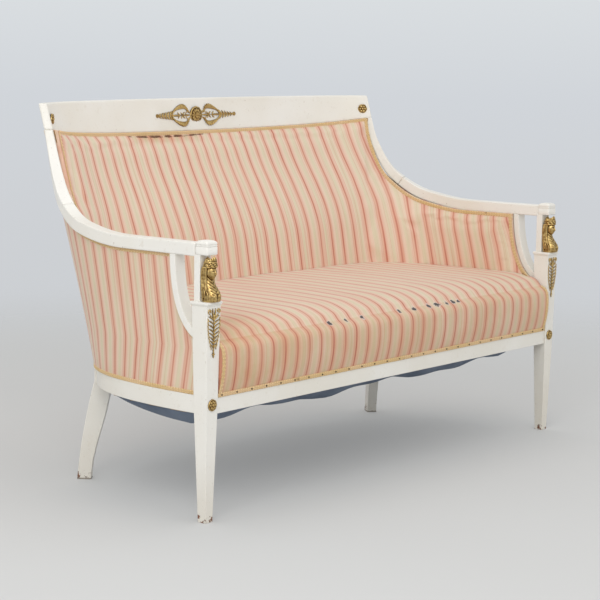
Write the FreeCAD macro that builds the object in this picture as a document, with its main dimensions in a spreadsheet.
import FreeCAD, Part
import Sketcher
import math
import os
import re

# A two-seat tub sofa in the Empire style: a painted beech frame with square tapering
# front posts, a curved back, brass mounts, and sprung and stuffed upholstery.
# The origin is on the floor, halfway between the two sides and halfway front to back.
# +X is the sitter's left, the front faces -Y, +Z is up. Lengths are in millimetres.

doc = FreeCAD.newDocument("recamier")

SIZES = (
    ("post_spacing", 1431, "between the centres of the two front posts"),
    ("post_forward", 341, "from the origin forward to the centres of the front posts"),
    ("post_foot", 24, "width of a front post at the floor"),
    ("post_rail", 38, "width of a front post at the underside of the seat rail"),
    ("post_top", 46.5, "width of a front post under its ledge"),
    ("rail_bottom", 252, "height of the underside of the seat rails"),
    ("rail_height", 42, "height of a seat rail"),
    ("rail_thick", 25.5, "thickness of a seat rail"),
    ("rail_setback", 3, "front rail behind the face of the posts"),
    ("rail_ease", 1, "gap between the front rail's end and the tapering post"),
    ("ledge_under", 502, "height of the underside of the post ledge"),
    ("ledge_thick", 10, "thickness of the post ledge"),
    ("ledge_width", 52.5, "width of the post ledge"),
    ("neck_width", 36, "width of the post above its ledge"),
    ("neck_depth", 18, "depth of the post above its ledge"),
    ("neck_setback", 21.5, "rear face of the neck behind the centre of the post"),
    ("arm_height", 650, "height of the top of the arm caps"),
    ("cap_width", 37, "width of an arm cap"),
    ("cap_height", 33, "height of an arm cap"),
    ("cap_round", 6, "radius round the top of an arm cap"),
    ("arm_inset", 14.5, "inner face of the arm rail inboard of the post centre"),
    ("arm_drop", 7, "top of the arm rail below the top of the cap"),
    ("arm_face", 30.5, "height of the arm rail"),
    ("arm_thick", 33.5, "thickness of the arm rail"),
    ("arm_run", 453, "length of the straight pull of the side of the tub"),
    ("corner_pull", 611, "roundness of the tub's rear corners at the seat"),
    ("tub_depth", 584, "from the front posts back to the tub's inner face at the seat"),
    ("crest_height", 936, "height of the top of the crest rail"),
    ("crest_lean", 114, "how far the crest leans back from the seat rail"),
    ("crest_tuck", 49, "how far the sides draw in at crest height"),
    ("crest_pull", 983, "squareness of the crest rail's bend"),
    ("crest_thick", 21, "thickness of the crest rail"),
    ("crest_face_end", 64, "height of the crest rail at its ends"),
    ("crest_face_middle", 88.5, "height of the crest rail in the middle"),
    ("upright_face", 18.5, "width of the back upright under the crest"),
    ("stile_reach", 100, "rear edge of the arm stile behind the post, under the arm rail"),
    ("stile_land", 426, "height at which the arm stile meets the post"),
    ("stile_face", 17, "width of the arm stile"),
    ("leg_depth", 41, "depth of a rear leg at the seat rail"),
    ("leg_width", 31, "width of a rear leg at the seat rail"),
    ("leg_foot_depth", 35, "depth of a rear leg at the floor"),
    ("leg_foot_width", 27, "width of a rear leg at the floor"),
    ("leg_sweep", 44, "how far a rear foot stands out from its rail"),
    ("foot_pad", 3, "thickness of the felt pad under a rear foot"),
    ("stay_bottom", 330, "underside of the stay rails above the seat rails"),
    ("stay_height", 30, "height of a stay rail"),
    ("stay_thick", 18, "thickness of a stay rail"),
    ("strut_width", 32, "width of a back strut"),
    ("block_leg", 62, "leg length of a triangular corner block"),
    ("block_height", 30, "height of a corner block"),
    ("block_drop", 2, "top of a corner block below the top of its rails"),
    ("screw_head", 9, "diameter of a corner block screw head"),
    ("screw_length", 40, "length of a corner block screw"),
    ("dowel_diameter", 10, "diameter of a frame dowel"),
    ("dowel_reach", 24, "reach of a frame dowel into the front rail"),
    ("dowel_in_post", 14, "reach of a frame dowel into a post"),
    ("web_width", 50, "width of a webbing strap"),
    ("web_thick", 1.6, "thickness of a webbing strap"),
    ("spring_radius", 40, "radius of a seat spring"),
    ("spring_wire", 3.6, "diameter of the spring wire"),
    ("spring_height", 104, "height of a seat spring when tied down"),
    ("spring_turns", 4, "turns of a seat spring"),
    ("hessian_thick", 1.5, "thickness of the hessian over the springs and webbing"),
    ("cover_thick", 3, "thickness of the covers with their wadding"),
    ("seat_edge", 416, "height of the seat along its front edge"),
    ("seat_level", 450, "height of the seat where it meets the arms"),
    ("seat_back_edge", 456, "height of the seat where it meets the back"),
    ("seat_crown", 8, "rise of the seat's middle over its edges"),
    ("seat_roll", 90, "how far back the rounding of the seat's front edge reaches"),
    ("seat_border", 30, "thickness of the stuffed front border"),
    ("seat_overhang", 14, "how far the seat's front swells past the rail"),
    ("pad_depth", 30, "depth of the stuffing inside the arms and back"),
    ("pad_edge", 8, "depth of that stuffing along its edges"),
    ("pad_bottom", 306, "height of the lower edge of the inside covers"),
    ("back_belly", 64, "how much further the stuffing stands out at the small of the back"),
    ("outside_inset", 3.5, "outside covers behind the face of the rails"),
    ("dust_sag", 9, "sag of the dust cover under the seat rails"),
    ("trim_width", 10, "width of the gimp braid"),
    ("trim_thick", 2.4, "thickness of the gimp braid"),
    ("tack_diameter", 4, "diameter of a tack head"),
    ("bust_forward", 38, "front of a bust before the centre of its post"),
    ("bust_width", 40, "width of a bust across the shoulders"),
    ("palmette_bottom", 383, "height of a palmette's lower tip"),
    ("palmette_width", 34, "width of a palmette at its top"),
    ("mount_thick", 3.5, "thickness of the flat brass mounts"),
    ("rosette_height", 275, "height of the rosettes on the front posts"),
    ("rosette_diameter", 28, "diameter of the rosettes on the posts and crest ends"),
    ("rosette_thick", 6, "thickness of a rosette"),
    ("crest_rosette_end", 21, "crest rosette's centre in from the crest rail's end"),
    ("crest_rosette_drop", 39, "crest rosettes below the top of the crest rail"),
    ("centre_rosette", 43, "diameter of the rosette in the middle of the crest"),
    ("centre_drop", 46, "middle mount below the top of the crest rail"),
    ("centre_reach", 153, "half the length of the mount in the middle of the crest"),
    ("centre_wreath", 13, "radius of each wreath in the middle mount"),
    ("fit_gap", 0.3, "clearance between soft pieces and their neighbours"),
)

sheet = doc.addObject("Spreadsheet::Sheet", "Sizes")
for row, (alias, value, note) in enumerate(SIZES, start=1):
    sheet.set("A%d" % row, note)
    sheet.set("B%d" % row, str(value))
    sheet.setAlias("B%d" % row, alias)
doc.recompute()

ALIASES = re.compile(r"\b(%s)\b" % "|".join(alias for alias, value, note in SIZES))
Vec = FreeCAD.Vector

# Shares of the tub's plan curve, from a front post (0) to the middle of the back (1).
ARM_JOINT = 0.46
LEG_SHARE = 0.53
STRUT_SHARE = 0.80
# The climb of the arm rail: share of the plan curve against share of the whole climb.
CLIMB = ((0.0, 0.0), (0.207, 0.0), (0.363, 0.065), (0.487, 0.246), (0.570, 0.572), (0.617, 1.0))
SIDES = (("left", -1), ("right", 1))


def size(alias):
    """The value of one named size."""
    return float(sheet.get(alias))


def bound(text):
    """An expression on the sheet's named sizes."""
    return ALIASES.sub(r"Sizes.\1", text)


def bind(thing, **settings):
    """Tie properties of a document object to expressions on the named sizes."""
    for name, text in settings.items():
        thing.setExpression(name.replace("__", "."), bound(text))


RAIL_TOP = size("rail_bottom") + size("rail_height")
ARM_LEVEL = size("arm_height") - size("arm_drop")
ARM_LINE = size("post_spacing") / 2 - size("arm_inset")
POST_X = size("post_spacing") / 2

# Most shapes are worked out with Y counted from the centres of the front posts.
POST_FRAME = FreeCAD.Placement(Vec(0, -size("post_forward"), 0), FreeCAD.Rotation())

parts = []


def keep(thing):
    parts.append(thing)
    return thing


# Curves of the tub

def bezier(poles, share):
    """A point on a cubic curve with four poles."""
    rest = 1 - share
    weights = (rest ** 3, 3 * share * rest ** 2, 3 * share ** 2 * rest, share ** 3)
    total = Vec(0, 0, 0)
    for weight, pole in zip(weights, poles):
        total = total + pole * weight
    return total


def tub_point(share, height, side=1):
    """A point on the tub's inner face. Y counts from the centres of the front posts."""
    up = (height - RAIL_TOP) / (size("crest_height") - RAIL_TOP)
    side_x = ARM_LINE - size("crest_tuck") * up
    pull = size("corner_pull") + (size("crest_pull") - size("corner_pull")) * up
    depth = size("tub_depth") + size("crest_lean") * up
    poles = (Vec(ARM_LINE, 0, 0), Vec(side_x, size("arm_run"), 0),
             Vec(pull, depth, 0), Vec(0, depth, 0))
    flat = bezier(poles, share)
    return Vec(side * flat.x, flat.y, height)


def tub_normal(share, height, side=1):
    """The level direction out of the tub."""
    step = 0.002
    low = max(share - step, 0.0)
    high = min(share + step, 1.0)
    along = tub_point(high, height, 1) - tub_point(low, height, 1)
    across = Vec(along.y, -along.x, 0)
    if share >= 1.0:
        across = Vec(0, 1, 0)
    across.normalize()
    return Vec(side * across.x, across.y, 0)


def share_at(depth, height):
    """The share of the plan curve that lies so far behind the posts."""
    low, high = 0.0, 0.9
    for turn in range(40):
        middle = (low + high) / 2
        if tub_point(middle, height).y < depth:
            low = middle
        else:
            high = middle
    return low


def share_across(across, height):
    """The share of the plan curve that lies so far from the middle of the sofa."""
    low, high = 0.0, 1.0
    for turn in range(40):
        middle = (low + high) / 2
        if tub_point(middle, height).x > across:
            low = middle
        else:
            high = middle
    return low


def climb(share):
    """Height of the arm rail's inner top edge, by a monotone cubic through CLIMB."""
    rise = size("crest_height") - ARM_LEVEL
    slopes = []
    for first, second in zip(CLIMB[:-1], CLIMB[1:]):
        slopes.append((second[1] - first[1]) / (second[0] - first[0]))
    ends = [slopes[0]]
    for before, after in zip(slopes[:-1], slopes[1:]):
        ends.append(2 * before * after / (before + after) if before * after > 0 else 0.0)
    ends.append(slopes[-1])
    for place in range(len(slopes)):
        (s0, v0), (s1, v1) = CLIMB[place], CLIMB[place + 1]
        if share <= s1 or place == len(slopes) - 1:
            width = s1 - s0
            part = (share - s0) / width
            value = ((2 * part ** 3 - 3 * part ** 2 + 1) * v0
                     + (part ** 3 - 2 * part ** 2 + part) * width * ends[place]
                     + (3 * part ** 2 - 2 * part ** 3) * v1
                     + (part ** 3 - part ** 2) * width * ends[place + 1])
            return ARM_LEVEL + rise * value


def share_at_climb(height):
    """The share at which the arm rail has climbed to a height."""
    low, high = CLIMB[1][0], CLIMB[-1][0]
    for turn in range(40):
        middle = (low + high) / 2
        if climb(middle) < height:
            low = middle
        else:
            high = middle
    return low


CREST_BOTTOM_END = size("crest_height") - size("crest_face_end")
UPRIGHT_TOP = share_at_climb(CREST_BOTTOM_END)
CREST_END = CLIMB[-1][0]


def rail_section(share, side):
    """The four corners of the arm rail or upright: inner top, outer top, outer low, inner low."""
    height = climb(share)
    step = 0.003
    corner = tub_point(share, height, side)
    ahead = tub_point(share + step, climb(share + step), side)
    behind = tub_point(share - step, climb(share - step), side)
    along = ahead - behind
    along.normalize()
    out = tub_normal(share, height, side)
    up = along.cross(out)
    if up.z < 0:
        up = up * -1
    up.normalize()
    # The upper end of the upright is cut level under the crest rail.
    level = tub_point(share - step, height, side) - tub_point(share + step, height, side)
    level.normalize()
    turn = max(0.0, (share - ARM_JOINT) / (UPRIGHT_TOP - ARM_JOINT)) ** 4
    up = up * (1 - turn) + level * turn
    up.normalize()
    grown = min(max((height - size("arm_height")) / (CREST_BOTTOM_END - size("arm_height")), 0), 1)
    face = size("arm_face") + (size("upright_face") - size("arm_face")) * grown
    thick = size("arm_thick") + (size("crest_thick") - size("arm_thick")) * grown
    return (corner, corner + out * thick, corner + out * thick - up * face, corner - up * face)


def crest_bottom(share):
    """Height of the crest rail's underside."""
    inward = min(max((share - UPRIGHT_TOP) / (1 - UPRIGHT_TOP), 0.0), 1.0)
    face = size("crest_face_end")
    face += (size("crest_face_middle") - face) * (1 - (1 - inward) ** 2)
    return size("crest_height") - face


def spread(first, last, count):
    """Evenly spaced values, both ends included."""
    return [first + (last - first) * place / (count - 1) for place in range(count)]


def across_back(start, half):
    """Stations (share, side) from the left, over the middle of the back, to the right."""
    left = [(share, -1) for share in spread(start, 1.0, half)]
    right = [(share, 1) for share in reversed(spread(start, 1.0, half)[:-1])]
    return left + right


# Solids from lists of points

def smooth_edge(points):
    """A smooth edge through points, with even steps, so that neighbouring edges match."""
    curve = Part.BSplineCurve()
    steps = [place / (len(points) - 1) for place in range(len(points))]
    curve.interpolate(Points=points, Parameters=steps)
    return curve.toShape()


def ruled(first, second):
    return Part.makeRuledSurface(first, second)


def line(first, second):
    return Part.LineSegment(first, second).toShape()


def slab(inner, outer):
    """A closed solid between two skins, each given by long lines of points, low to high."""
    inner_edges = [smooth_edge(points) for points in inner]
    outer_edges = [smooth_edge(points) for points in outer]
    faces = []
    for place in range(len(inner) - 1):
        faces.append(ruled(inner_edges[place], inner_edges[place + 1]))
        faces.append(ruled(outer_edges[place], outer_edges[place + 1]))
        for end in (0, -1):
            near = line(inner[place][end], inner[place + 1][end])
            far = line(outer[place][end], outer[place + 1][end])
            faces.append(ruled(near, far))
    faces.append(ruled(inner_edges[0], outer_edges[0]))
    faces.append(ruled(inner_edges[-1], outer_edges[-1]))
    shell = Part.makeShell(faces)
    shell.sewShape()
    solid = Part.makeSolid(shell)
    if solid.Volume < 0:
        solid.reverse()
    return solid


def in_post_frame(label, shape):
    """A sub-part whose Y counts from the centres of the front posts."""
    thing = doc.addObject("Part::Feature", label)
    thing.Shape = shape
    thing.Placement = POST_FRAME.multiply(shape.Placement)
    thing.Label = label
    return keep(thing)


def at(value, share):
    """A value, or a function's value at a share of the plan curve."""
    return value(share) if callable(value) else value


FLAT = (0.0, 1.0)
ROUNDED = (0.0, 0.12, 0.3, 0.5, 0.7, 0.88, 1.0)


def swell(level):
    """How full a stuffed pad is at a level between its lower edge (0) and upper edge (1)."""
    return 1 - (2 * level - 1) ** 4


BELLY_STARTS = 0.42
BELLY_FULL = 0.90


def eased(part):
    part = min(max(part, 0.0), 1.0)
    return part * part * (3 - 2 * part)


def belly(share, level):
    """How far the inside stuffing stands out beyond its plain depth, most in the middle of
    the back and from half way up down to the seat."""
    across = eased((share - BELLY_STARTS) / (BELLY_FULL - BELLY_STARTS))
    return size("back_belly") * across * eased((0.95 - level) / 0.5)


def stuffed(fullness, share, level):
    """How far a skin swells towards the sitter. Only a stuffed skin does."""
    return fullness * swell(level) + belly(share, level) if fullness else 0.0


def tub_slab(stations, low, high, near, far, fullness=0.0, far_fullness=0.0, starts=None):
    """A piece of the tub's wall. Heights are values or functions of the share, and near and
    far are its skins' offsets out of the tub. Fullness swells a skin towards the sitter, as
    stuffing does. Where the front end isn't upright, starts gives each level's first share."""
    levels = ROUNDED if fullness or starts else FLAT
    last = stations[-1][0]
    first = stations[0][0]
    inner = [[] for level in levels]
    outer = [[] for level in levels]
    for place, level in enumerate(levels):
        for share, side in stations:
            if starts:
                share = starts(level) + (last - starts(level)) * (share - first) / (last - first)
            bottom = at(low, share)
            top = at(high, share)
            height = bottom + (top - bottom) * level
            out = tub_normal(share, height, side)
            point = tub_point(share, height, side)
            inner[place].append(point + out * (near - stuffed(fullness, share, level)))
            outer[place].append(point + out * (far - stuffed(far_fullness, share, level)))
    return slab(inner, outer)


# Sketches and bodies

def plane_of(body, role):
    for feature in body.Origin.OriginFeatures:
        if feature.Role == role:
            return feature


def centred_square(body, name, height, width, depth, shift="0 mm"):
    """A rectangle about the post's centre line, at a height, moved back by a shift."""
    sketch = body.newObject("Sketcher::SketchObject", name)
    sketch.AttachmentSupport = (plane_of(body, "XY_Plane"), [""])
    sketch.MapMode = "FlatFace"
    bind(sketch, AttachmentOffset__Base__z=height, AttachmentOffset__Base__y=shift)
    half = 10.0
    corners = (Vec(-half, -half, 0), Vec(half, -half, 0), Vec(half, half, 0), Vec(-half, half, 0))
    for place in range(4):
        segment = Part.LineSegment(corners[place], corners[(place + 1) % 4])
        sketch.addGeometry(segment, False)
    for place in range(4):
        sketch.addConstraint(Sketcher.Constraint("Coincident", place, 2, (place + 1) % 4, 1))
    sketch.addConstraint(Sketcher.Constraint("Horizontal", 0))
    sketch.addConstraint(Sketcher.Constraint("Horizontal", 2))
    sketch.addConstraint(Sketcher.Constraint("Vertical", 1))
    sketch.addConstraint(Sketcher.Constraint("Vertical", 3))
    sketch.addConstraint(Sketcher.Constraint("Symmetric", 0, 1, 2, 1, -1, 1))
    wide = sketch.addConstraint(Sketcher.Constraint("DistanceX", 0, 1, 0, 2, 2 * half))
    deep = sketch.addConstraint(Sketcher.Constraint("DistanceY", 1, 1, 1, 2, 2 * half))
    sketch.renameConstraint(wide, "width")
    sketch.renameConstraint(deep, "depth")
    bind(sketch, Constraints__width=width, Constraints__depth=depth)
    return sketch


def new_body(label, side):
    """A body whose own origin is on the floor under the centre of a front post."""
    body = doc.addObject("PartDesign::Body", label)
    body.Label = label
    bind(body, Placement__Base__x="%d * post_spacing / 2" % side,
         Placement__Base__y="-post_forward")
    return keep(body)


def pad(body, sketch, name, length):
    feature = body.newObject("PartDesign::Pad", name)
    feature.Profile = sketch
    bind(feature, Length=length)
    return feature


def edges_at(shape, height):
    """Names of the edges that lie level at a height."""
    names = []
    for place, edge in enumerate(shape.Edges, start=1):
        if all(abs(vertex.Point.z - height) < 0.01 for vertex in edge.Vertexes):
            names.append("Edge%d" % place)
    return names


# Front posts, ledges and arm caps

for hand, side in SIDES:
    post = new_body(hand + "_front_post", side)
    foot = centred_square(post, hand + "_post_foot", "0 mm", "post_foot", "post_foot")
    knee = centred_square(post, hand + "_post_knee", "rail_bottom", "post_rail", "post_rail")
    shoulder = centred_square(post, hand + "_post_shoulder", "ledge_under", "post_top", "post_top")
    taper = post.newObject("PartDesign::AdditiveLoft", hand + "_post_taper")
    taper.Profile = foot
    taper.Sections = [knee, shoulder]
    taper.Ruled = True
    doc.recompute()
    neck = centred_square(post, hand + "_post_neck", "ledge_under", "neck_width", "neck_depth",
                          "neck_setback - neck_depth / 2")
    pad(post, neck, hand + "_neck_pad", "arm_height - cap_height - ledge_under")

    ledge = new_body(hand + "_post_ledge", side)
    outline = centred_square(ledge, hand + "_ledge_outline", "ledge_under",
                             "ledge_width", "ledge_width")
    plate = pad(ledge, outline, hand + "_ledge_plate", "ledge_thick")
    doc.recompute()
    slot = centred_square(ledge, hand + "_ledge_slot", "ledge_under", "neck_width", "neck_depth",
                          "neck_setback - neck_depth / 2")
    cut = ledge.newObject("PartDesign::Pocket", hand + "_ledge_cut")
    cut.Profile = slot
    cut.Reversed = True
    bind(cut, Length="ledge_thick")
    doc.recompute()

    cap = new_body(hand + "_arm_cap", side)
    outline = centred_square(cap, hand + "_cap_outline", "arm_height - cap_height",
                             "cap_width", "cap_width")
    block = pad(cap, outline, hand + "_cap_block", "cap_height")
    doc.recompute()
    rounding = cap.newObject("PartDesign::Fillet", hand + "_cap_rounding")
    rounding.Base = (block, edges_at(block.Shape, size("arm_height")))
    bind(rounding, Radius="cap_round")

# Arm rails, back uprights, crest rail and arm stiles

def rail_run(first, last, count, side):
    """A run of the arm rail between two shares of the plan curve."""
    corners = [rail_section(share, side) for share in spread(first, last, count)]
    lines = [[corner[place] for corner in corners] for place in range(4)]
    return slab([lines[3], lines[0]], [lines[2], lines[1]])


RAIL_START = share_at(size("cap_width") / 2, ARM_LEVEL)
for hand, side in SIDES:
    in_post_frame(hand + "_arm_rail", rail_run(RAIL_START, ARM_JOINT, 12, side))
    in_post_frame(hand + "_back_upright", rail_run(ARM_JOINT, UPRIGHT_TOP, 9, side))


def crest_lines(offset):
    """Lower and upper long edges of the crest rail, at an offset out of the tub."""
    low, high = [], []
    for near, side in across_back(0.0, 9):
        share_low = UPRIGHT_TOP + (1 - UPRIGHT_TOP) * near
        share_high = CREST_END + (1 - CREST_END) * near
        bottom = crest_bottom(share_low)
        out = tub_normal(share_low, bottom, side)
        low.append(tub_point(share_low, bottom, side) + out * offset)
        out = tub_normal(share_high, size("crest_height"), side)
        high.append(tub_point(share_high, size("crest_height"), side) + out * offset)
    return [low, high]


in_post_frame("crest_rail", slab(crest_lines(0.0), crest_lines(size("crest_thick"))))

STILE_TOP = ARM_LEVEL - size("arm_face")


def stile_edge(part, shift):
    """Place behind the post and height of the stile's rear edge, moved forward by a shift."""
    reach = size("stile_reach")
    land = size("stile_land")
    landing = size("post_top") / 2
    drop = STILE_TOP - land
    poles = (Vec(0, reach, STILE_TOP), Vec(0, reach * 0.96, STILE_TOP - drop * 0.55),
             Vec(0, reach * 0.7, land + drop * 0.16), Vec(0, landing, land))
    step = 0.01
    point = bezier(poles, part)
    along = bezier(poles, min(part + step, 1)) - bezier(poles, max(part - step, 0))
    along.normalize()
    moved = point + Vec(0, along.z, -along.y) * shift
    if part >= 1.0:
        moved = Vec(0, landing, land + shift)
    if part <= 0.0:
        moved = Vec(0, reach - shift, STILE_TOP)
    return moved


def stile_lines(shift, offset, side):
    points = []
    for part in spread(0.0, 1.0, 9):
        edge = stile_edge(part, shift)
        share = share_at(edge.y, edge.z)
        points.append(tub_point(share, edge.z, side) + Vec(side * offset, 0, 0))
    return points


for hand, side in SIDES:
    inner = [stile_lines(0.0, 0.0, side), stile_lines(size("stile_face"), 0.0, side)]
    outer = [stile_lines(0.0, size("arm_thick"), side),
             stile_lines(size("stile_face"), size("arm_thick"), side)]
    in_post_frame(hand + "_arm_stile", slab(inner, outer))

# Seat rails, rear legs and the hidden frame of the back

def leg_share(clear, height, before):
    """The share at which a piece stops beside a rear leg."""
    step = 0.01
    span = (tub_point(LEG_SHARE + step, height) - tub_point(LEG_SHARE - step, height)).Length
    gap = (size("leg_width") / 2 + clear) * 2 * step / span
    return LEG_SHARE - gap if before else LEG_SHARE + gap


def straight_leg_line(side):
    return tub_point(LEG_SHARE, RAIL_TOP, side), tub_normal(LEG_SHARE, RAIL_TOP, side)


def leg_ring(height, side):
    """The four corners of a rear leg at a height: inner pair, then outer pair."""
    foot, out = straight_leg_line(side)
    sideways = Vec(-out.y, out.x, 0)
    down = min(max(1 - height / size("rail_bottom"), 0.0), 1.0)
    outer = size("rail_thick") + size("leg_sweep") * (1.5 * down - 0.5 * down ** 2)
    inner_foot = size("rail_thick") + size("leg_sweep") - size("leg_foot_depth")
    inner_top = size("rail_thick") - size("leg_depth")
    inner = inner_top + (inner_foot - inner_top) * (3 * down ** 2 - 2 * down ** 3)
    half = (size("leg_width") + (size("leg_foot_width") - size("leg_width")) * down) / 2
    base = Vec(foot.x, foot.y, height)
    return (base + out * inner - sideways * half, base + out * inner + sideways * half,
            base + out * outer - sideways * half, base + out * outer + sideways * half)


RAIL_STATIONS = 8
for hand, side in SIDES:
    start = share_at(size("post_rail") / 2, RAIL_TOP)
    stop = leg_share(0.0, RAIL_TOP, True)
    stations = [(share, side) for share in spread(start, stop, RAIL_STATIONS)]
    in_post_frame(hand + "_side_seat_rail",
                  tub_slab(stations, size("rail_bottom"), RAIL_TOP, 0.0, size("rail_thick")))

    rings = [leg_ring(height, side)
             for height in spread(size("foot_pad"), size("rail_bottom"), 9)]
    lines = [[ring[place] for ring in rings] for place in range(4)]
    sabre = slab([lines[0], lines[1]], [lines[2], lines[3]])
    top = leg_ring(size("rail_bottom"), side)
    head = Part.Face(Part.makePolygon([top[0], top[1], top[3], top[2], top[0]]))
    head = head.extrude(Vec(0, 0, size("rail_height")))
    in_post_frame(hand + "_rear_leg", sabre.fuse(head).removeSplitter())

rear_start = leg_share(0.0, RAIL_TOP, False)
in_post_frame("rear_seat_rail", tub_slab(across_back(rear_start, 8), size("rail_bottom"),
                                         RAIL_TOP, 0.0, size("rail_thick")))

pads = []
for hand, side in SIDES:
    ring = leg_ring(size("foot_pad"), side)
    sole = Part.Face(Part.makePolygon([ring[0], ring[1], ring[3], ring[2], ring[0]]))
    pads.append(sole.extrude(Vec(0, 0, -size("foot_pad"))))
in_post_frame("rear_foot_pads", Part.makeCompound(pads))

STAY_TOP = size("stay_bottom") + size("stay_height")
POST_SHARE_HALF = 0.016


def rail_underside(samples=40):
    """Shares and heights along the inner lower edge of the arm rail and upright."""
    edge = []
    for share in spread(RAIL_START, UPRIGHT_TOP, samples):
        corner = rail_section(share, 1)[3]
        edge.append((share_at(corner.y, corner.z), corner.z))
    return edge


UNDERSIDE = rail_underside()


def under_rail(share):
    """Height of the arm rail's or upright's inner lower edge over a share."""
    if share <= UNDERSIDE[0][0]:
        return UNDERSIDE[0][1]
    for before, after in zip(UNDERSIDE[:-1], UNDERSIDE[1:]):
        if share <= after[0]:
            part = (share - before[0]) / (after[0] - before[0])
            return before[1] + (after[1] - before[1]) * part
    return UNDERSIDE[-1][1]


for hand, side in SIDES:
    shares = (LEG_SHARE - POST_SHARE_HALF, LEG_SHARE, LEG_SHARE + POST_SHARE_HALF)
    stations = [(share, side) for share in shares]
    in_post_frame(hand + "_rear_post",
                  tub_slab(stations, RAIL_TOP, lambda share: under_rail(share) - 2.0, 0.0,
                           size("stay_thick")))
    start = share_at(size("post_top") / 2, STAY_TOP)
    stop = LEG_SHARE - POST_SHARE_HALF
    stations = [(share, side) for share in spread(start, stop, RAIL_STATIONS)]
    in_post_frame(hand + "_arm_stay_rail",
                  tub_slab(stations, size("stay_bottom"), STAY_TOP, 0.0, size("stay_thick")))
    half = size("strut_width") / 2 / tub_point(0.0, RAIL_TOP).x / 1.4
    shares = (STRUT_SHARE - half, STRUT_SHARE, STRUT_SHARE + half)
    stations = [(share, side) for share in shares]
    in_post_frame(hand + "_back_strut",
                  tub_slab(stations, STAY_TOP, crest_bottom, 0.0, size("stay_thick")))

in_post_frame("back_stay_rail",
              tub_slab(across_back(LEG_SHARE + POST_SHARE_HALF, 8), size("stay_bottom"),
                       STAY_TOP, 0.0, size("stay_thick")))

# Corner blocks, their screws, and the dowels of the frame

RAIL_FACE = size("rail_setback") - size("post_rail") / 2
SEAT_FRONT = RAIL_FACE + size("rail_thick")


def corner_block(corner, first, second):
    """A triangular block in the corner between two rails, with two screws through it."""
    reach = size("block_leg")
    low = RAIL_TOP - size("block_height") - size("block_drop")
    first.normalize()
    second.normalize()
    points = [corner, corner + first * reach, corner + second * reach, corner]
    face = Part.Face(Part.makePolygon([Vec(point.x, point.y, low) for point in points]))
    block = face.extrude(Vec(0, 0, size("block_height")))
    screws = []
    for along, into in ((first, second), (second, first)):
        start = corner + along * (reach * 0.45) + into * (reach * 0.40)
        start = Vec(start.x, start.y, low + size("block_height") / 2)
        screws.append((start, into * -1))
    return block, screws


blocks = []
screws = []
for hand, side in SIDES:
    inner_x = abs(tub_point(share_at(SEAT_FRONT, RAIL_TOP), RAIL_TOP).x)
    corner = Vec(side * (inner_x - size("fit_gap")), SEAT_FRONT + size("fit_gap"), 0)
    block, pair = corner_block(corner, Vec(-side, 0, 0), Vec(-side * 0.01, 1, 0))
    blocks.append(block)
    screws += pair
    foot, out = straight_leg_line(side)
    sideways = Vec(-out.y, out.x, 0)
    inner = foot + out * (size("rail_thick") - size("leg_depth") - size("fit_gap"))
    edge = inner - out * size("block_leg") * 0.4
    points = [inner - sideways * size("leg_width") / 2, inner + sideways * size("leg_width") / 2,
              edge + sideways * size("block_leg") * 0.6, edge - sideways * size("block_leg") * 0.6]
    points.append(points[0])
    low = RAIL_TOP - size("block_height") - size("block_drop")
    face = Part.Face(Part.makePolygon([Vec(point.x, point.y, low) for point in points]))
    blocks.append(face.extrude(Vec(0, 0, size("block_height"))))

screw_solids = []
bores = []
for start, into in screws:
    head = Part.makeCylinder(size("screw_head") / 2, size("screw_head") / 3, start, into)
    shank = Part.makeCylinder(size("screw_head") / 4, size("screw_length"), start, into)
    screw = head.fuse(shank).removeSplitter()
    screw_solids.append(screw)
    mouth = Part.makeCylinder(size("screw_head") / 2, size("block_leg"), start, into * -1)
    bores.append(screw.fuse(mouth).removeSplitter())

blocks = [block.cut(bores) for block in blocks]
in_post_frame("corner_blocks", Part.makeCompound(blocks))
in_post_frame("corner_block_screws", Part.makeCompound(screw_solids))

for hand, side in SIDES:
    rail = doc.getObject(hand + "_side_seat_rail")
    bored = rail.Shape.copy()
    bored.Placement = FreeCAD.Placement()
    rail.Shape = bored.cut(bores)
    rail.Placement = POST_FRAME

# Front seat rail, dowelled into the posts

blank = doc.addObject("Part::Box", "front_rail_blank")
bind(blank, Length="post_spacing - post_rail - 2 * rail_ease", Width="rail_thick",
     Height="rail_height", Placement__Base__x="-(post_spacing - post_rail - 2 * rail_ease) / 2",
     Placement__Base__y="-post_forward - post_rail / 2 + rail_setback",
     Placement__Base__z="rail_bottom")
DOWEL_LEVELS = (0.28, 0.72)
dowels = []
for hand, side in SIDES:
    for level in DOWEL_LEVELS:
        start = Vec(side * (POST_X - size("post_rail") / 2 - size("dowel_reach")),
                    RAIL_FACE + size("rail_thick") / 2,
                    size("rail_bottom") + size("rail_height") * level)
        length = size("dowel_reach") + size("dowel_in_post")
        dowels.append(Part.makeCylinder(size("dowel_diameter") / 2, length, start, Vec(side, 0, 0)))
in_post_frame("front_rail_dowels", Part.makeCompound(dowels))
tool = doc.addObject("Part::Feature", "front_rail_bores")
tool.Shape = Part.makeCompound(dowels + bores)
tool.Placement = POST_FRAME
front_rail = doc.addObject("Part::Cut", "front_seat_rail")
front_rail.Base = blank
front_rail.Tool = tool
front_rail.Label = "front_seat_rail"
keep(front_rail)

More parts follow.
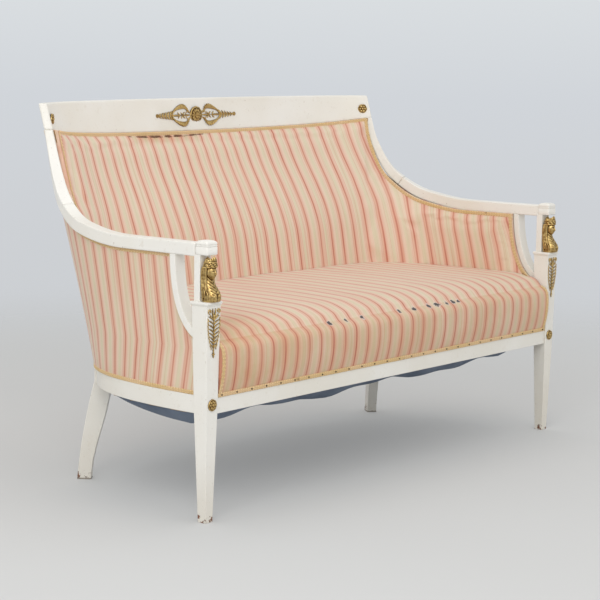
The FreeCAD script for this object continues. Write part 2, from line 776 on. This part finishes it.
for hand, side in SIDES:
    post = doc.getObject(hand + "_front_post")
    for place, level in enumerate(DOWEL_LEVELS):
        bore = post.newObject("PartDesign::SubtractiveCylinder", "%s_dowel_bore_%d" % (hand, place))
        bore.AttachmentSupport = (plane_of(post, "YZ_Plane"), [""])
        bore.MapMode = "FlatFace"
        bind(bore, Radius="dowel_diameter / 2", Height="dowel_in_post + rail_ease * 3",
             AttachmentOffset__Base__x="rail_setback - post_rail / 2 + rail_thick / 2",
             AttachmentOffset__Base__y="rail_bottom + rail_height * %s" % level,
             AttachmentOffset__Base__z=("-post_rail / 2 - rail_ease * 3" if side > 0
                                        else "post_rail / 2 - dowel_in_post"))

# Seat: webbing, springs, hessian, stuffing, border and cover

def half_width(depth, height):
    """Half the inner width of the tub so far behind the posts."""
    return tub_point(share_at(depth, height), height).x


def strap(low, wide, deep):
    return Part.makeBox(wide, deep, size("web_thick"), low)


HOLD = size("rail_thick") * 0.7
straps = []
WEB_ROWS = 6
WEB_COLUMNS = 9
web_span = half_width(0.0, RAIL_TOP) - size("rail_thick") * 3 - size("web_width")
for across in spread(-web_span, web_span, WEB_COLUMNS):
    outer_edge = abs(across) + size("web_width") / 2
    back = tub_point(share_across(outer_edge, RAIL_TOP), RAIL_TOP).y + HOLD
    low = Vec(across - size("web_width") / 2, RAIL_FACE + size("rail_thick") - HOLD,
              size("rail_bottom") - size("web_thick"))
    straps.append(strap(low, size("web_width"), back - low.y))
for depth in spread(SEAT_FRONT + size("web_width"), size("tub_depth") * 0.72, WEB_ROWS):
    wide = half_width(depth + size("web_width"), RAIL_TOP) + HOLD
    low = Vec(-wide, depth, size("rail_bottom") - 2 * size("web_thick"))
    straps.append(strap(low, 2 * wide, size("web_width")))
in_post_frame("seat_webbing", Part.makeCompound(straps))


def coil_spring():
    """One seat spring, standing on the origin."""
    wire = size("spring_wire")
    rise = size("spring_height") - wire
    radius = size("spring_radius") - wire / 2
    path = Part.makeHelix(rise / size("spring_turns"), rise, radius)
    corners = []
    for place in range(7):
        turn = place * math.pi / 3
        corners.append(Vec(radius + wire / 2 * math.cos(turn), 0, wire / 2 * math.sin(turn)))
    section = Part.makePolygon(corners)
    spring = Part.Wire(path.Edges).makePipeShell([section], True, True)
    spring.translate(Vec(0, 0, wire / 2))
    return spring


SPRING_FOOT = size("rail_bottom")
spring = coil_spring()
springs = []
SPRING_ROWS = 3
SPRING_COLUMNS = 5
reach_x = half_width(size("tub_depth") * 0.75, RAIL_TOP) - 2 * size("spring_radius")
for across in spread(-reach_x, reach_x, SPRING_COLUMNS):
    for depth in spread(size("tub_depth") * 0.18, size("tub_depth") * 0.72, SPRING_ROWS):
        one = spring.copy()
        one.translate(Vec(across, depth, SPRING_FOOT))
        springs.append(one)
in_post_frame("seat_springs", Part.makeCompound(springs))

def seat_side(share):
    """Offset of the seat's edge, which lies against the inside covers."""
    plain = size("pad_depth") + size("cover_thick") + size("fit_gap") * 3
    return -plain - belly(share, 0.0)


FRACTIONS = (-1.0, -0.6, 0.0, 0.6, 1.0)
SEAT_END = 0.92
BORDER_BACK = RAIL_FACE + size("seat_border")


def seat_stations(start_depth):
    start = share_at(start_depth + size("fit_gap") * 4, size("seat_level"))
    return spread(start, SEAT_END, 12)


def seat_height(depth, fraction):
    """Height of the seat's cover: rounded at the front, crowned in the middle."""
    back = size("tub_depth") + seat_side(1.0)
    along = min(max(depth / back, 0.0), 1.0)
    front = max(1 - max(depth - RAIL_FACE, 0.0) / size("seat_roll"), 0.0)
    fall = (size("seat_level") - size("seat_back_edge")) * along ** 3
    crown = size("seat_crown") * (1 - fraction ** 2) * math.sin(math.pi * along)
    return size("seat_level") - (size("seat_level") - size("seat_edge")) * front ** 2 - fall + crown


def seat_layer(start_depth, low, high, inset=0.0):
    """A layer of the seat between two heights, each a value or a function of place."""
    skins = []
    for level in (low, high):
        lines = [[] for fraction in FRACTIONS]
        for share in seat_stations(start_depth):
            rim = level
            if callable(level):
                rim = level(tub_point(share, size("seat_level")).y + seat_side(share), 1.0)
            edge = tub_point(share, rim) + tub_normal(share, rim) * (seat_side(share) - inset)
            for place, fraction in enumerate(FRACTIONS):
                height = level(edge.y, fraction) if callable(level) else level
                lines[place].append(Vec(edge.x * fraction, edge.y, height))
        skins.append(lines)
    return slab(skins[0], skins[1])


HESSIAN_LOW = SPRING_FOOT + size("spring_height")
HESSIAN_TOP = HESSIAN_LOW + size("hessian_thick")


def under_cover(depth, fraction):
    return seat_height(depth, fraction) - size("cover_thick")


in_post_frame("seat_hessian", seat_layer(BORDER_BACK, HESSIAN_LOW, HESSIAN_TOP))
in_post_frame("seat_stuffing", seat_layer(BORDER_BACK, HESSIAN_TOP, under_cover))
in_post_frame("seat_cover", seat_layer(BORDER_BACK, under_cover, seat_height))


def border_profile():
    """Places before the posts and heights up the front of the seat."""
    top = seat_height(RAIL_FACE, 1.0)
    low = RAIL_TOP + size("fit_gap")
    rise = top - low
    out = size("seat_overhang")
    return ((RAIL_FACE + 2, low), (RAIL_FACE - out * 0.75, low + rise * 0.22),
            (RAIL_FACE - out, low + rise * 0.55), (RAIL_FACE - out * 0.75, low + rise * 0.85),
            (RAIL_FACE + 4, top))


border_x = POST_X - size("post_top") / 2 - size("fit_gap") * 2
front_lines = []
rear_lines = []
for depth, height in border_profile():
    front_lines.append([Vec(across, depth, height) for across in spread(-border_x, border_x, 5)])
    back_height = height
    if height > RAIL_TOP + size("fit_gap") + 1 and depth > RAIL_FACE:
        back_height = seat_height(BORDER_BACK, 1.0) - 0.5
    rear_lines.append([Vec(across, BORDER_BACK - size("fit_gap"), back_height)
                       for across in spread(-border_x, border_x, 5)])
in_post_frame("seat_front_border", slab(front_lines, rear_lines))


def dust_layer(shift):
    lines = [[] for fraction in FRACTIONS]
    for share in spread(share_at(size("post_rail"), RAIL_TOP), 0.94, 12):
        edge = tub_point(share, RAIL_TOP) + tub_normal(share, RAIL_TOP) * HOLD
        for place, fraction in enumerate(FRACTIONS):
            sag = size("dust_sag") * (1 - fraction ** 2)
            level = size("rail_bottom") - 2 * size("web_thick") - size("fit_gap") - sag - shift
            lines[place].append(Vec(edge.x * fraction, edge.y, level))
    return lines


in_post_frame("dust_cover", slab(dust_layer(0.0), dust_layer(size("hessian_thick"))))

# Arms and back: webbing, stuffing and covers

CORNER_SHARE = UPRIGHT_TOP + 0.018
GAP = size("fit_gap")


def arm_top(share):
    return under_rail(share) - GAP


def back_top(share):
    return crest_bottom(share) - GAP


def stile_start(low, high):
    """The share at which an arm cover starts, level by level, behind the stile."""
    def start(level):
        height = low + (high - low) * level
        depth = size("post_top") / 2
        if height > size("stile_land"):
            down, up = 0.0, 1.0
            for turn in range(30):
                middle = (down + up) / 2
                if stile_edge(middle, 0.0).z > height:
                    down = middle
                else:
                    up = middle
            depth = stile_edge(down, 0.0).y
        return share_at(depth + GAP, height)
    return start


web_low = size("stay_bottom") + size("stay_height") * 0.2
web_span = spread(0.64, 1.0, 5)
back_straps = []
half = size("web_width") / 2 / size("arm_run") * 0.55
for share in web_span:
    for side in ((-1, 1) if share < 1.0 else (1,)):
        if share < 1.0:
            stations = [(place, side) for place in (share - half, share, share + half)]
        else:
            stations = [(1 - half, -1), (1.0, 1), (1 - half, 1)]
        back_straps.append(tub_slab(stations, web_low, back_top, -size("web_thick"), 0.0))
in_post_frame("back_webbing", Part.makeCompound(back_straps))

FULL = size("pad_depth") - size("pad_edge")
PAD_BACK = -size("web_thick") - GAP
EDGE_COVER = -size("pad_edge") - size("cover_thick")
back_stations = across_back(CORNER_SHARE, 8)
in_post_frame("inside_back_stuffing", tub_slab(back_stations, size("pad_bottom"), back_top,
                                               -size("pad_edge"), PAD_BACK, FULL))
in_post_frame("inside_back_cover", tub_slab(back_stations, size("pad_bottom"), back_top,
                                            EDGE_COVER, -size("pad_edge"), FULL, FULL))
for hand, side in SIDES:
    starts = stile_start(size("pad_bottom"), STILE_TOP)
    stations = [(share, side) for share in spread(0.05, CORNER_SHARE - 0.001, 14)]
    in_post_frame(hand + "_arm_stuffing", tub_slab(stations, size("pad_bottom"), arm_top,
                                                   -size("pad_edge"), PAD_BACK, FULL,
                                                   starts=starts))
    in_post_frame(hand + "_inside_arm_cover", tub_slab(stations, size("pad_bottom"), arm_top,
                                                       EDGE_COVER, -size("pad_edge"), FULL, FULL,
                                                       starts=starts))
    starts = stile_start(RAIL_TOP, STILE_TOP)
    far = size("rail_thick") - size("outside_inset")
    in_post_frame(hand + "_outside_arm_cover",
                  tub_slab(stations, RAIL_TOP + GAP, arm_top, far - size("cover_thick"), far,
                           starts=starts))
far = size("rail_thick") - size("outside_inset")
in_post_frame("outside_back_cover", tub_slab(back_stations, RAIL_TOP + GAP, back_top,
                                             far - size("cover_thick"), far))

# Gimp braid and tacks

def strip_under(lines_upper, lines_lower, normals, near, far):
    """A flat braid between two long edges, standing off the tub from near to far."""
    def moved(points, offset):
        return [point + out * offset for point, out in zip(points, normals)]
    inner = [moved(lines_lower, near), moved(lines_upper, near)]
    outer = [moved(lines_lower, far), moved(lines_upper, far)]
    return slab(inner, outer)


def rail_braid(side, near, far):
    """The braid under the arm rail and up the upright."""
    upper, lower, normals = [], [], []
    for share in spread(share_at(size("stile_reach"), STILE_TOP), UPRIGHT_TOP - 0.002, 16):
        corner = rail_section(share, side)
        down = corner[3] - corner[0]
        down.normalize()
        upper.append(corner[3])
        lower.append(corner[3] + down * size("trim_width"))
        normals.append(tub_normal(share, corner[3].z, side))
    return strip_under(upper, lower, normals, near, far)


def stile_braid(side, near, far):
    """The braid down the rear edge of the arm stile."""
    def edge(shift):
        points = []
        for part in spread(0.04, 0.99, 8):
            place = stile_edge(part, -shift)
            share = share_at(place.y, place.z)
            points.append(tub_point(share, place.z, side))
        return points
    upper = edge(0.0)
    normals = [Vec(side, 0, 0) for point in upper]
    return strip_under(upper, edge(size("trim_width")), normals, near, far)


inside = (EDGE_COVER - size("trim_thick"), EDGE_COVER)
outside = (far, far + size("trim_thick"))
inner_braid = []
for hand, side in SIDES:
    inner_braid.append(rail_braid(side, *inside))
    inner_braid.append(stile_braid(side, *inside))
    start = share_at(size("post_rail") / 2 + 1, RAIL_TOP)
    stations = [(share, side) for share in spread(start, LEG_SHARE, 8)]
    hem = tub_slab(stations, RAIL_TOP, RAIL_TOP + size("trim_width"), outside[0], outside[1])
    in_post_frame(hand + "_outside_gimp", Part.makeCompound(
        [rail_braid(side, *outside), stile_braid(side, *outside), hem]))


def under_crest(share):
    """The lower edge of the braid under the crest rail."""
    return crest_bottom(share) - size("trim_width")


inner_braid.append(tub_slab(back_stations, under_crest, crest_bottom, *inside))
in_post_frame("inside_gimp", Part.makeCompound(inner_braid))
in_post_frame("outside_back_gimp", Part.makeCompound([
    tub_slab(back_stations, under_crest, crest_bottom, *outside),
    tub_slab(across_back(LEG_SHARE + 0.001, 8), RAIL_TOP, RAIL_TOP + size("trim_width"), *outside)]))

BRAID_FACE = RAIL_FACE - size("trim_thick")
hem_low = RAIL_TOP - size("trim_width") / 2
hem_top = hem_low + size("trim_width")
runs = [Part.makeBox(2 * border_x, size("trim_thick"), size("trim_width"),
                     Vec(-border_x, BRAID_FACE, hem_low))]
rise = border_profile()
share = (hem_top - rise[0][1]) / (rise[1][1] - rise[0][1])
climb_line = [(rise[0][0] + (rise[1][0] - rise[0][0]) * share, hem_top)] + list(rise[1:])
for start_x in (-border_x, border_x - size("trim_width")):
    points = [Vec(start_x, depth - size("trim_thick"), height) for depth, height in climb_line]
    points += [Vec(start_x, depth, height) for depth, height in reversed(climb_line)]
    points.append(points[0])
    runs.append(Part.Face(Part.makePolygon(points)).extrude(Vec(size("trim_width"), 0, 0)))
in_post_frame("seat_front_gimp", Part.makeCompound(runs))
tacks = []
TACKS = 27
tack_x = border_x - size("trim_width")
for across in spread(-tack_x, tack_x, TACKS):
    tack = Part.makeCylinder(size("tack_diameter") / 2, 1.2, Vec(across, BRAID_FACE, RAIL_TOP),
                             Vec(0, -1, 0))
    tacks.append(tack)
in_post_frame("seat_front_tacks", Part.makeCompound(tacks))

# Brass mounts

LEDGE_TOP = size("ledge_under") + size("ledge_thick")


def oval(centre, wide, deep, tall):
    """A ball stretched to a width, depth and height."""
    matrix = FreeCAD.Matrix()
    matrix.scale(Vec(wide / 2, deep / 2, tall / 2))
    ball = Part.makeSphere(1.0).transformGeometry(matrix)
    ball.translate(centre)
    return ball


def bust(side):
    """A draped bust on a small block, under the arm cap."""
    wide = size("bust_width")
    base = LEDGE_TOP
    tall = size("arm_height") - size("cap_height") - base
    rear = size("neck_setback") - size("neck_depth")
    front = -size("bust_forward")
    deep = rear - front
    x = side * POST_X
    block = Part.makeBox(wide, deep * 0.9, tall * 0.12, Vec(x - wide / 2, front + deep * 0.1, base))
    chest = oval(Vec(x, rear - deep / 2, base + tall * 0.27), wide, deep, tall * 0.42)
    neck = Part.makeCylinder(wide * 0.17, tall * 0.34, Vec(x, rear - deep * 0.42, base + tall * 0.34))
    head = oval(Vec(x, rear - deep * 0.48, base + tall * 0.70), wide * 0.62, deep * 0.74, tall * 0.34)
    band = Part.makeCone(wide * 0.30, wide * 0.36, tall * 0.17, Vec(x, rear - deep * 0.45, base + tall * 0.82))
    whole = block.multiFuse([chest, neck, head, band]).removeSplitter()
    keep_box = Part.makeBox(wide * 2, deep + 20, tall - GAP, Vec(x - wide, front - 20, base))
    return whole.common(keep_box)


def palmette(side):
    """A tapering palmette, flat on the sloping face of the post."""
    top = size("ledge_under") - 1.0
    low = size("palmette_bottom")
    half = size("palmette_width") / 2
    tall = top - low
    outline = ((0.75, 1.0), (1.0, 0.95), (0.95, 0.86), (0.6, 0.80), (0.8, 0.68), (0.55, 0.45),
               (0.25, 0.2), (0.12, 0.08), (0.0, 0.0))
    points = [Vec(half * wide, 0, tall * level) for wide, level in outline]
    points += [Vec(-point.x, 0, point.z) for point in reversed(points[:-1])]
    points.append(points[0])
    plate = Part.Face(Part.makePolygon(points)).extrude(Vec(0, -size("mount_thick"), 0))
    slope = (size("post_top") - size("post_rail")) / 2 / (size("ledge_under") - size("rail_bottom"))
    face = size("post_rail") / 2 + slope * (low - size("rail_bottom"))
    plate.rotate(Vec(0, 0, 0), Vec(1, 0, 0), math.degrees(math.atan(slope)))
    plate.translate(Vec(side * POST_X, -face, low))
    return plate


def rosette(centre, out, diameter):
    """A round rosette: a rimmed disc with a domed middle."""
    thick = size("rosette_thick")
    disc = Part.makeCylinder(diameter / 2, thick * 0.5, centre, out)
    boss = Part.makeCone(diameter * 0.30, diameter * 0.16, thick * 0.5, centre + out * thick * 0.5, out)
    return disc.fuse(boss).removeSplitter()


leg_rosettes = []
for hand, side in SIDES:
    in_post_frame(hand + "_bust", bust(side))
    in_post_frame(hand + "_palmette", palmette(side))
    slope = (size("post_top") - size("post_rail")) / 2 / (size("ledge_under") - size("rail_bottom"))
    face = size("post_rail") / 2 + slope * (size("rosette_height") - size("rail_bottom"))
    out = Vec(0, -1, -slope)
    out.normalize()
    leg_rosettes.append(rosette(Vec(side * POST_X, -face, size("rosette_height")), out,
                                size("rosette_diameter")))
in_post_frame("leg_rosettes", Part.makeCompound(leg_rosettes))


def share_beside(start, distance, height):
    """The share that lies a distance along the plan curve from a start."""
    step = 0.005
    span = (tub_point(start + step, height) - tub_point(start - step, height)).Length
    return start + distance * 2 * step / span


crest_rosettes = []
level = size("crest_height") - size("crest_rosette_drop")
end_share = CREST_END + (UPRIGHT_TOP - CREST_END) * size("crest_rosette_drop") / size("crest_face_end")
for hand, side in SIDES:
    share = share_beside(end_share, size("crest_rosette_end"), level)
    centre = tub_point(share, level, side)
    crest_rosettes.append(rosette(centre, tub_normal(share, level, side) * -1,
                                  size("rosette_diameter")))
in_post_frame("crest_rosettes", Part.makeCompound(crest_rosettes))


def leaf(share, low, high, side, wide):
    """A flat pointed leaf on the face of the crest, between two heights."""
    middle = (low + high) / 2
    centre = tub_point(share, middle, side)
    out = tub_normal(share, middle, side) * -1
    across = Vec(0, 0, 1).cross(out)
    across.normalize()
    up = out.cross(across)
    tall = (high - low) / 2
    corners = []
    for sideways, upward in ((1, 0), (0.6, 0.55), (0, 1), (-0.6, 0.55), (-1, 0), (-0.6, -0.55),
                             (0, -1), (0.6, -0.55)):
        corners.append(centre + across * (wide / 2 * sideways) + up * (tall * upward))
    face = Part.Face(Part.makePolygon(corners + corners[:1]))
    return face.extrude(out * size("mount_thick"))


def centre_mount():
    """The middle mount: a rosette, four wreaths and a chain tapering to each side."""
    level = size("crest_height") - size("centre_drop")
    thick = size("mount_thick")
    wreath = size("centre_wreath")
    face = tub_point(1.0, level).y
    pieces = [rosette(Vec(0, face, level), Vec(0, -1, 0), size("centre_rosette"))]
    for side in (-1, 1):
        for up in (-1, 1):
            spot = Vec(side * wreath * 1.85, face, level + up * wreath * 1.25)
            ring = Part.makeCylinder(wreath, thick, spot, Vec(0, -1, 0))
            hole = Part.makeCylinder(wreath - thick, thick, spot, Vec(0, -1, 0))
            pieces.append(ring.cut(hole))
        first = wreath * 3.0
        leaf_count = 8
        pitch = (size("centre_reach") - first) / leaf_count
        for place in range(leaf_count):
            share = share_across(first + pitch * (place + 0.5), level)
            tall = pitch * (0.62 - 0.3 * place / leaf_count)
            pieces.append(leaf(share, level - tall, level + tall, side, pitch * 0.98))
    return Part.makeCompound(pieces)


in_post_frame("crest_centre_mount", centre_mount())

# Checks and files

doc.recompute()
for thing in doc.Objects:
    if "Invalid" in thing.State or "Error" in thing.State:
        raise RuntimeError("%s is in state %s" % (thing.Label, thing.State))
for thing in parts:
    if thing.Shape.isNull() or not thing.Shape.isValid():
        raise RuntimeError("the shape of %s is not valid" % thing.Label)
    if not thing.Shape.Solids or thing.Shape.Volume <= 0:
        raise RuntimeError("%s holds no solid" % thing.Label)

os.makedirs("parts", exist_ok=True)
for thing in parts:
    thing.Shape.exportStep("parts/%s.step" % thing.Label)
print("%d sub-parts" % len(parts))
